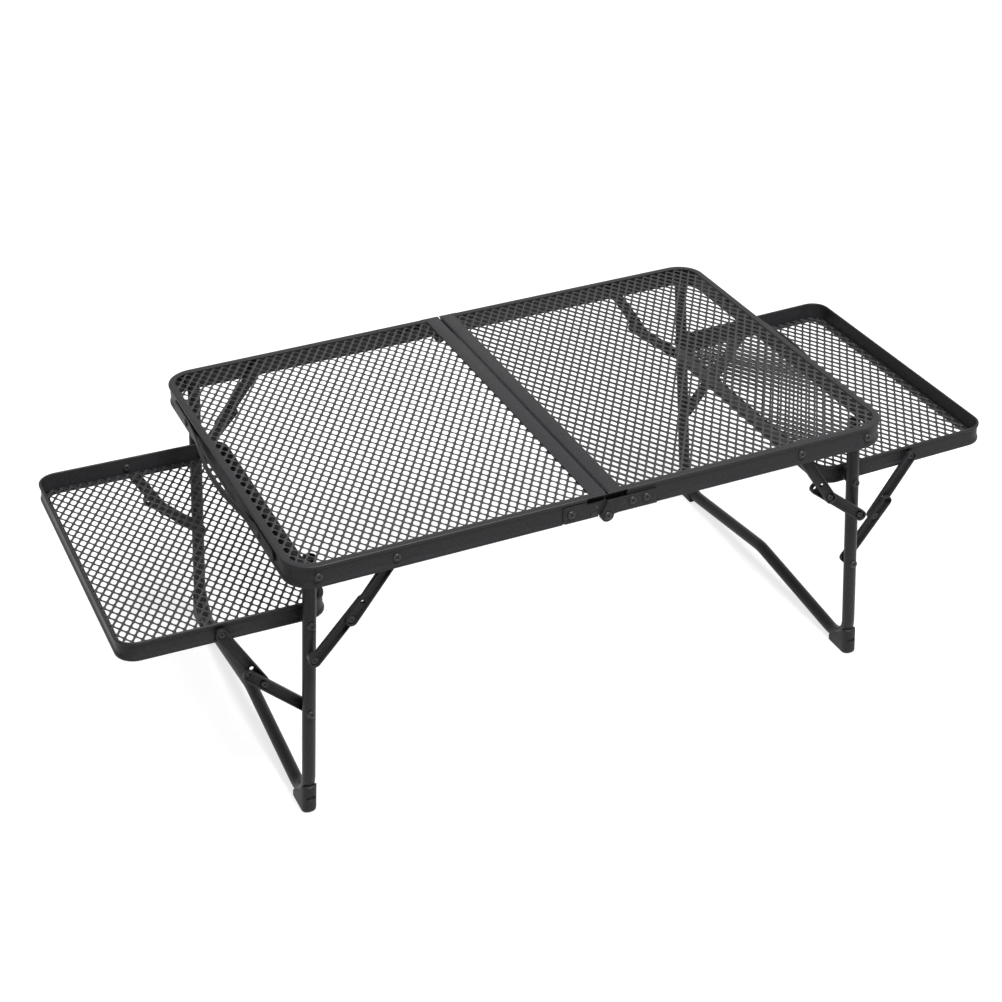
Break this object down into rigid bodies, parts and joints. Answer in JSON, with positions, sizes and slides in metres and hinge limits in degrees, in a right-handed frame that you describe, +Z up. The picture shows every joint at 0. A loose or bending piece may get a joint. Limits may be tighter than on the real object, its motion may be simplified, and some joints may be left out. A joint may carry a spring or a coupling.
{
  "type": "folding camping table",
  "caption": "Low folding camping table with a coated steel mesh top that closes like a case, side trays between the legs and folding braces.",
  "frame": {"origin": "on the ground under the centre of the open table", "axes": "+X along the length, towards the right tray; +Y to the back; +Z up"},
  "size_m": [0.8911, 0.4052, 0.279],
  "materials": {
    "black_coat": "fine satin powder coat",
    "blackened_steel": "coated rivets and pins, smooth satin",
    "shoe_plastic": "matt moulded plastic",
    "handle_plastic": "satin moulded strap"
  },
  "bodies": {
    "left_panel": {"left_panel_frame": "black_coat", "left_panel_mesh": "black_coat", "left_handle": "handle_plastic", "left_handle_rivets": "blackened_steel", "left_hinge_leaf_front": "black_coat", "left_hinge_leaf_rear": "black_coat", "left_hinge_rivets": "blackened_steel", "left_leg_pivots": "blackened_steel", "left_main_rim_rivets": "blackened_steel", "hinge_pins": "blackened_steel"},
    "left_leg": {"left_leg_frame": "black_coat", "left_front_shoe": "shoe_plastic", "left_rear_shoe": "shoe_plastic", "left_tray_pivots": "blackened_steel"},
    "left_tray": {"left_tray_frame": "black_coat", "left_tray_mesh": "black_coat", "left_tray_rim_rivets": "blackened_steel"},
    "left_main_upper": {"left_main_upper_arm_front": "black_coat", "left_main_upper_arm_rear": "black_coat", "left_main_elbow_rivets": "blackened_steel"},
    "left_main_lower": {"left_main_lower_arm_front": "black_coat", "left_main_lower_arm_rear": "black_coat", "left_main_post_rivets": "blackened_steel"},
    "left_tray_upper": {"left_tray_upper_arm_front": "black_coat", "left_tray_upper_arm_rear": "black_coat", "left_tray_elbow_rivets": "blackened_steel"},
    "left_tray_lower": {"left_tray_lower_arm_front": "black_coat", "left_tray_lower_arm_rear": "black_coat", "left_tray_post_rivets": "blackened_steel"},
    "right_panel": {"right_panel_frame": "black_coat", "right_panel_mesh": "black_coat", "right_handle": "handle_plastic", "right_handle_rivets": "blackened_steel", "right_hinge_leaf_front": "black_coat", "right_hinge_leaf_rear": "black_coat", "right_hinge_rivets": "blackened_steel", "right_leg_pivots": "blackened_steel", "right_main_rim_rivets": "blackened_steel"},
    "right_leg": {"right_leg_frame": "black_coat", "right_front_shoe": "shoe_plastic", "right_rear_shoe": "shoe_plastic", "right_tray_pivots": "blackened_steel"},
    "right_tray": {"right_tray_frame": "black_coat", "right_tray_mesh": "black_coat", "right_tray_rim_rivets": "blackened_steel"},
    "right_main_upper": {"right_main_upper_arm_front": "black_coat", "right_main_upper_arm_rear": "black_coat", "right_main_elbow_rivets": "blackened_steel"},
    "right_main_lower": {"right_main_lower_arm_front": "black_coat", "right_main_lower_arm_rear": "black_coat", "right_main_post_rivets": "blackened_steel"},
    "right_tray_upper": {"right_tray_upper_arm_front": "black_coat", "right_tray_upper_arm_rear": "black_coat", "right_tray_elbow_rivets": "blackened_steel"},
    "right_tray_lower": {"right_tray_lower_arm_front": "black_coat", "right_tray_lower_arm_rear": "black_coat", "right_tray_post_rivets": "blackened_steel"}
  },
  "joints": [
    {"name": "left_leg_fold", "type": "hinge", "parent": "left_panel", "child": "left_leg", "pos_m": [-0.275, 0, 0.267], "axis": [0, -1, 0], "range_deg": [0, 94.39]},
    {"name": "left_tray_fold", "type": "hinge", "parent": "left_leg", "child": "left_tray", "pos_m": [-0.27967, 0, 0.20618], "axis": [0, -1, 0], "range_deg": [0, 86.83]},
    {"name": "left_main_upper_fold", "type": "hinge", "parent": "left_panel", "child": "left_main_upper", "pos_m": [-0.203, 0, 0.267], "axis": [0, -1, 0], "range_deg": [0, 128.67]},
    {"name": "left_main_lower_fold", "type": "hinge", "parent": "left_main_upper", "child": "left_main_lower", "pos_m": [-0.24711, 0, 0.21187], "axis": [0, -1, 0], "range_deg": [-175.01, 0]},
    {"name": "left_tray_upper_fold", "type": "hinge", "parent": "left_tray", "child": "left_tray_upper", "pos_m": [-0.35565, 0, 0.20778], "axis": [0, -1, 0], "range_deg": [-119.58, 0]},
    {"name": "left_tray_lower_fold", "type": "hinge", "parent": "left_tray_upper", "child": "left_tray_lower", "pos_m": [-0.32273, 0, 0.1468], "axis": [0, -1, 0], "range_deg": [0, 163.01]},
    {"name": "right_leg_fold", "type": "hinge", "parent": "right_panel", "child": "right_leg", "pos_m": [0.275, 0, 0.267], "axis": [0, 1, 0], "range_deg": [0, 92.99]},
    {"name": "right_tray_fold", "type": "hinge", "parent": "right_leg", "child": "right_tray", "pos_m": [0.27819, 0, 0.20608], "axis": [0, 1, 0], "range_deg": [0, 88]},
    {"name": "right_main_upper_fold", "type": "hinge", "parent": "right_panel", "child": "right_main_upper", "pos_m": [0.203, 0, 0.267], "axis": [0, 1, 0], "range_deg": [0, 122.4]},
    {"name": "right_main_lower_fold", "type": "hinge", "parent": "right_main_upper", "child": "right_main_lower", "pos_m": [0.24082, 0, 0.20739], "axis": [0, 1, 0], "range_deg": [-162.01, 0]},
    {"name": "right_tray_upper_fold", "type": "hinge", "parent": "right_tray", "child": "right_tray_upper", "pos_m": [0.35417, 0, 0.20739], "axis": [0, 1, 0], "range_deg": [-126.18, 0]},
    {"name": "right_tray_lower_fold", "type": "hinge", "parent": "right_tray_upper", "child": "right_tray_lower", "pos_m": [0.31424, 0, 0.15075], "axis": [0, 1, 0], "range_deg": [0, 177.01]},
    {"name": "centre_fold", "type": "hinge", "parent": "left_panel", "child": "right_panel", "pos_m": [0, 0, 0.2558], "axis": [0, 1, 0], "range_deg": [0, 85]}
  ],
  "couplings": [
    {"joint": "left_tray_fold", "follows": "left_leg_fold", "ratio": 0.91977},
    {"joint": "left_main_upper_fold", "follows": "left_leg_fold", "ratio": 1.3631},
    {"joint": "left_main_lower_fold", "follows": "left_leg_fold", "ratio": -1.854},
    {"joint": "left_tray_upper_fold", "follows": "left_leg_fold", "ratio": -1.2668},
    {"joint": "left_tray_lower_fold", "follows": "left_leg_fold", "ratio": 1.7269},
    {"joint": "right_tray_fold", "follows": "right_leg_fold", "ratio": 0.9462},
    {"joint": "right_main_upper_fold", "follows": "right_leg_fold", "ratio": 1.3161},
    {"joint": "right_main_lower_fold", "follows": "right_leg_fold", "ratio": -1.7421},
    {"joint": "right_tray_upper_fold", "follows": "right_leg_fold", "ratio": -1.3568},
    {"joint": "right_tray_lower_fold", "follows": "right_leg_fold", "ratio": 1.9034}
  ]
}
